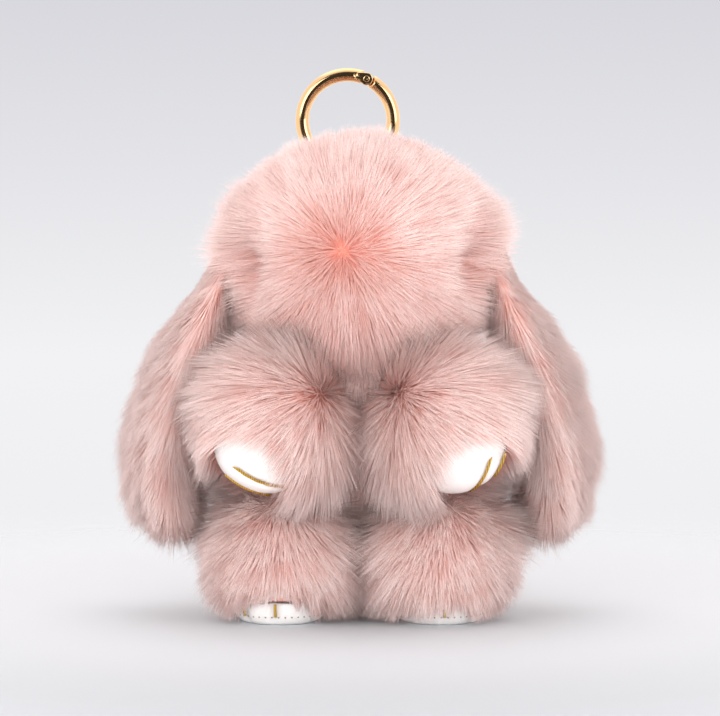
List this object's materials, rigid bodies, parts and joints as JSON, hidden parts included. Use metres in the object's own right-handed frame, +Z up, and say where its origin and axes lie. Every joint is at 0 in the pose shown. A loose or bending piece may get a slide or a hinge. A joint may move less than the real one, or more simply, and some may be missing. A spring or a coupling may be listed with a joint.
{
  "type": "plush keychain",
  "caption": "Stuffed long-eared fur bunny bag charm that sits upright, with leatherette paw pads, hung from a gold spring-gate ring on a leather strap.",
  "frame": {"origin": "on the floor, under the middle of the model's box", "axes": "+Z up; the bunny faces -Y; +X is to the viewer's right"},
  "size_m": [0.1388, 0.1066, 0.1749],
  "materials": {
    "fur": "long soft pink pile, pale at the tips and coral at the roots",
    "stuffing": "white polyester filling",
    "leatherette": "white semi-gloss grained sheet",
    "gold_thread": "twisted metallic thread",
    "gold_metal": "polished pale gold plating",
    "spring_steel": "drawn wire",
    "strap_leather": "pink, matt",
    "button_plastic": "moulded, matt"
  },
  "bodies": {
    "bunny": {"head_fur": "fur", "head_stuffing": "stuffing", "torso_fur": "fur", "torso_stuffing": "stuffing", "tail_pompom": "fur", "strap_tail": "strap_leather", "strap_button": "button_plastic"},
    "strap": {"hanging_strap": "strap_leather"},
    "ring": {"ring_body": "gold_metal", "gate_hinge_pin": "gold_metal", "gate_spring": "spring_steel"},
    "gate": {"ring_gate": "gold_metal"},
    "left_ear": {"ear_left": "fur"},
    "left_arm": {"arm_left_fur": "fur", "arm_left_stuffing": "stuffing", "hand_pad_left": "leatherette", "hand_left_thread_1": "gold_thread", "hand_left_thread_2": "gold_thread"},
    "left_leg": {"leg_left_fur": "fur", "leg_left_stuffing": "stuffing", "foot_pad_left": "leatherette", "foot_left_thread_1": "gold_thread", "foot_left_thread_2": "gold_thread"},
    "right_ear": {"ear_right": "fur"},
    "right_arm": {"arm_right_fur": "fur", "arm_right_stuffing": "stuffing", "hand_pad_right": "leatherette", "hand_right_thread_1": "gold_thread", "hand_right_thread_2": "gold_thread"},
    "right_leg": {"leg_right_fur": "fur", "leg_right_stuffing": "stuffing", "foot_pad_right": "leatherette", "foot_right_thread_1": "gold_thread", "foot_right_thread_2": "gold_thread"}
  },
  "joints": [
    {"name": "strap_bend", "type": "hinge", "parent": "bunny", "child": "strap", "pos_m": [-0.004, 0.0235, 0.13713], "axis": [1, 0, 0], "range_deg": [-90, 10]},
    {"name": "ring_turn", "type": "hinge", "parent": "strap", "child": "ring", "pos_m": [-0.004, 0.0235, 0.15794], "axis": [0, 1, 0], "continuous": true},
    {"name": "gate_swing", "type": "hinge", "parent": "ring", "child": "gate", "pos_m": [0.00209, 0.0235, 0.17143], "axis": [0, 1, 0], "range_deg": [0, 45], "stiffness_Nm_per_rad": 0.02, "springref_deg": -20.05},
    {"name": "left_ear_flop", "type": "hinge", "parent": "bunny", "child": "left_ear", "pos_m": [-0.03972, -0.004, 0.12779], "axis": [0, 1, 0], "range_deg": [0, 80]},
    {"name": "left_arm_lift", "type": "hinge", "parent": "bunny", "child": "left_arm", "pos_m": [-0.021, -0.0195, 0.07453], "axis": [-1, 0, 0], "range_deg": [0, 35]},
    {"name": "left_leg_kick", "type": "hinge", "parent": "bunny", "child": "left_leg", "pos_m": [-0.0255, -0.0195, 0.0215], "axis": [-1, 0, 0], "range_deg": [0, 60]},
    {"name": "right_ear_flop", "type": "hinge", "parent": "bunny", "child": "right_ear", "pos_m": [0.03972, -0.004, 0.12779], "axis": [0, -1, 0], "range_deg": [0, 80]},
    {"name": "right_arm_lift", "type": "hinge", "parent": "bunny", "child": "right_arm", "pos_m": [0.021, -0.0195, 0.07453], "axis": [-1, 0, 0], "range_deg": [0, 35]},
    {"name": "right_leg_kick", "type": "hinge", "parent": "bunny", "child": "right_leg", "pos_m": [0.0255, -0.0195, 0.0215], "axis": [-1, 0, 0], "range_deg": [0, 60]}
  ]
}
